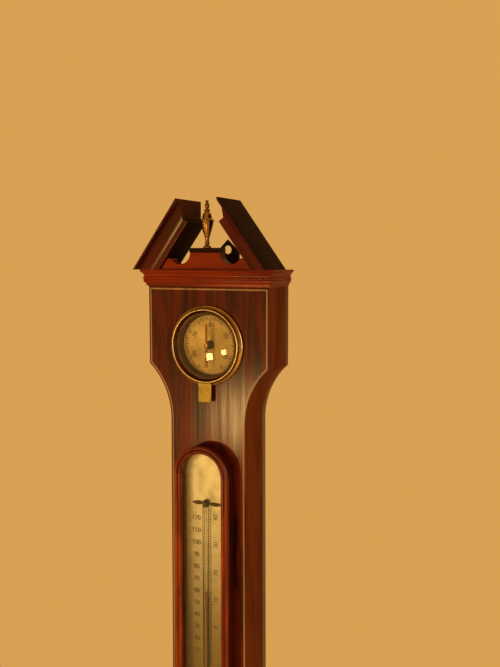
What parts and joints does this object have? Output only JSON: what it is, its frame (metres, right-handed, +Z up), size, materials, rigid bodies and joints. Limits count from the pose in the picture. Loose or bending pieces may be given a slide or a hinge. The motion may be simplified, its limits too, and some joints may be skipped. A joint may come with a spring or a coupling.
{
  "type": "banjo barometer",
  "caption": "Wall-hung banjo wheel barometer in mahogany with broken pediment and brass finial, hygrometer, boxed thermometer, silvered weather dial with float and pulley, and level.",
  "frame": {"origin": "centre of the hanging hole in the iron plate at the top of the back, on the wall plane", "axes": "+Z up along the case, -Y out of the front towards the reader, +Y into the wall, +X to the reader's right"},
  "size_m": [0.254, 0.07, 0.9444],
  "materials": {
    "mahogany_front": "french polished mahogany veneer",
    "mahogany_side": "polished mahogany",
    "mahogany_red": "polished reddish mahogany",
    "mahogany_dark": "polished dark mahogany",
    "boxwood": "pale inlaid line",
    "pine": "plain stained pine",
    "brass": "lacquered, aged",
    "bronzed_brass": "dark patina",
    "silvered": "silvered and lacquered, toned warm",
    "glass": "clear",
    "blued_steel": "blued",
    "steel": "plain steel",
    "iron": "dark iron",
    "mercury": "liquid metal",
    "thread": "silk thread",
    "straw": "dry oat beard"
  },
  "bodies": {
    "case": {"case_front": "mahogany_front", "case_sides": "mahogany_side", "back_panel": "pine", "door_pins": "brass", "edge_line": "boxwood", "cornice": "mahogany_red", "tympanum": "mahogany_red", "plinth_cap": "mahogany_dark", "left_rake": "mahogany_dark", "right_rake": "mahogany_dark", "finial": "brass", "hanging_plate": "iron", "brass_screws": "brass", "hygrometer_cup": "brass", "hygrometer_dial": "silvered", "hygrometer_pillar": "brass", "oat_beard": "straw", "thermometer_box": "mahogany_front", "frame_arch": "mahogany_red", "frame_sides": "mahogany_red", "frame_sill": "mahogany_red", "thermometer_glass": "glass", "thermometer_scale": "silvered", "thermometer_tube": "glass", "thermometer_fluid": "mercury", "winged_clip": "bronzed_brass", "bulb_clip": "bronzed_brass", "dial_plate": "silvered", "hinge_leaf": "brass", "hinge_pin": "brass", "movement_plate": "brass", "movement_cock": "brass", "siphon_tube": "glass", "mercury_bend": "mercury", "mercury_short": "mercury", "mercury_top": "mercury", "guide_tube": "brass", "tube_cleats": "pine", "level_plate": "silvered", "level_vial": "glass"},
    "hygrometer_hand_body": {"hygrometer_hand": "bronzed_brass"},
    "hygrometer_bezel_body": {"hygrometer_bezel": "brass", "hygrometer_glass": "glass", "bezel_tab": "brass"},
    "dial_bezel_body": {"dial_bezel": "brass", "dial_glass": "glass", "bezel_knuckle": "brass", "dial_tab": "brass"},
    "set_hand_body": {"set_hand": "brass", "set_knob": "brass"},
    "wheel_body": {"indicating_hand": "blued_steel", "hand_arbor": "steel", "thread_pulley": "brass"},
    "float_body": {"float_weight": "iron", "float_thread": "thread"},
    "counterweight_body": {"counterweight": "iron", "counter_thread": "thread"},
    "back_door_body": {"back_door": "pine"}
  },
  "joints": [
    {"name": "hygrometer_hand_turn", "type": "hinge", "parent": "case", "child": "hygrometer_hand_body", "pos_m": [0, -0.048, -0.095], "axis": [0, 1, 0], "range_deg": [-150, 150]},
    {"name": "hygrometer_bezel_pull", "type": "slide", "parent": "case", "child": "hygrometer_bezel_body", "axis": [0, -1, 0], "range_m": [0, 0.02]},
    {"name": "dial_bezel_swing", "type": "hinge", "parent": "case", "child": "dial_bezel_body", "pos_m": [-0.1138, -0.0505, -0.675], "axis": [0, 0, -1], "range_deg": [0, 110]},
    {"name": "set_hand_turn", "type": "hinge", "parent": "dial_bezel_body", "child": "set_hand_body", "pos_m": [0, -0.048, -0.675], "axis": [0, 1, 0], "range_deg": [-170, 170]},
    {"name": "indicating_hand_turn", "type": "hinge", "parent": "case", "child": "wheel_body", "pos_m": [0, -0.02, -0.675], "axis": [0, 1, 0], "range_deg": [-170, 170]},
    {"name": "float_slide", "type": "slide", "parent": "case", "child": "float_body", "axis": [0, 0, 1], "range_m": [-0.01818, 0.01818], "deforming": ["float_thread", "mercury_short"]},
    {"name": "counterweight_slide", "type": "slide", "parent": "case", "child": "counterweight_body", "axis": [0, 0, 1], "range_m": [-0.01818, 0.01818], "deforming": ["counter_thread", "mercury_top"]},
    {"name": "back_door_swing", "type": "hinge", "parent": "case", "child": "back_door_body", "pos_m": [-0.024, -0.0035, -0.4], "axis": [0, 0, 1], "range_deg": [0, 90]}
  ],
  "couplings": [
    {"joint": "float_slide", "follows": "indicating_hand_turn", "m_per_rad": -0.00606},
    {"joint": "counterweight_slide", "follows": "indicating_hand_turn", "m_per_rad": 0.00606}
  ]
}
